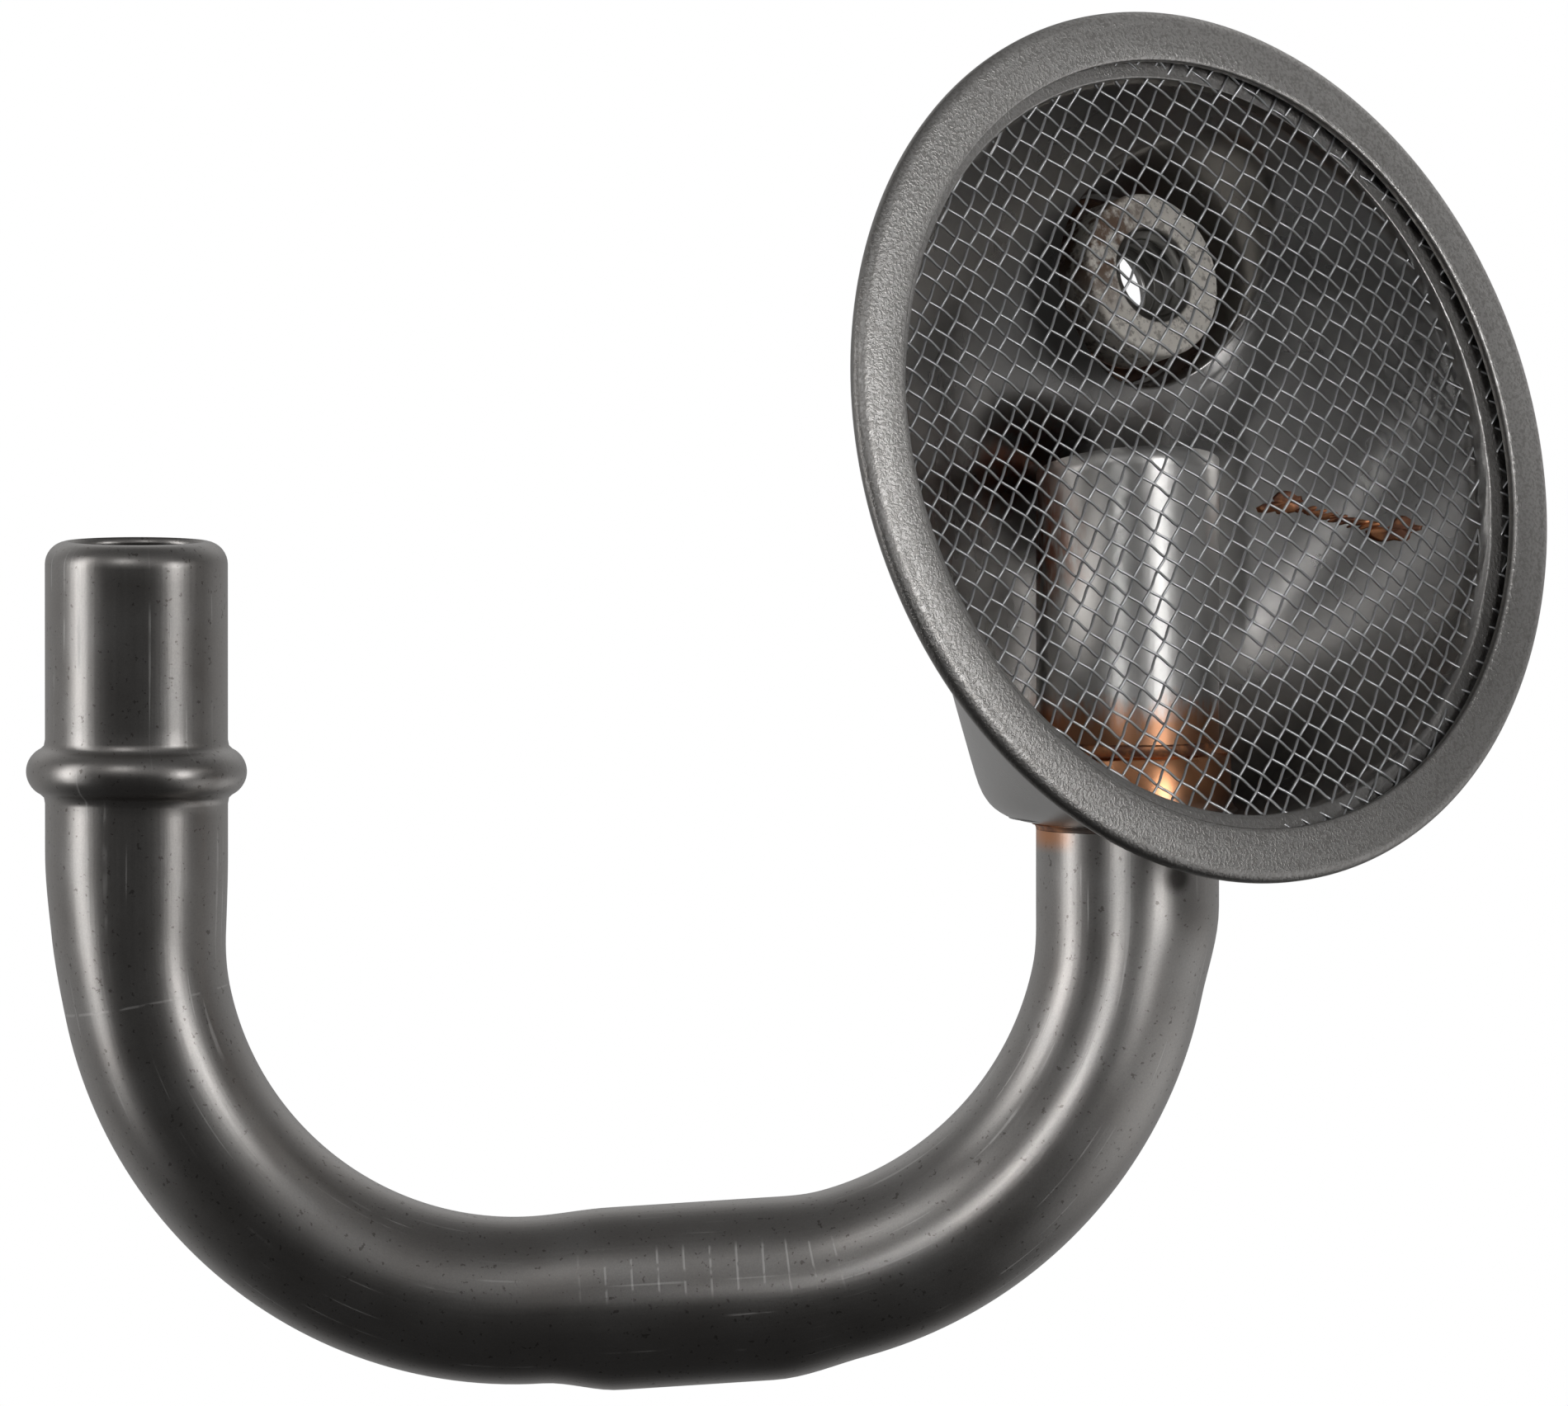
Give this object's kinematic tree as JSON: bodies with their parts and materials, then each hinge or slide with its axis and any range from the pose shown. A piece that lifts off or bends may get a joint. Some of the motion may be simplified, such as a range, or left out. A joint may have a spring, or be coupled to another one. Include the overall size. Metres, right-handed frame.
{
  "type": "oil pickup tube",
  "caption": "Bent steel oil pickup tube with a beaded spigot, brazed into a stamped cup whose hemmed round rim clamps a dished wire screen, and with a threaded boss for a bolt.",
  "frame": {"origin": "on the spigot axis, at the top of the rolled bead, where the seat of the spigot begins", "axes": "+Z along the spigot out of its open end, +X from the spigot to the cup in the plane of the bend, and the mouth of the cup faces +X, -Y and a little +Z"},
  "size_m": [0.1585, 0.0699, 0.1439],
  "materials": {
    "tube_steel": "bare satin",
    "cup_steel": "bare satin",
    "screen_wire": "bright drawn wire",
    "nut_steel": "turned",
    "braze": "dull copper braze"
  },
  "bodies": {
    "root": {"pickup_tube": "tube_steel", "pickup_cup": "cup_steel", "inlet_screen": "screen_wire", "mounting_nut": "nut_steel", "tube_braze": "braze", "nut_braze": "braze"}
  },
  "joints": []
}
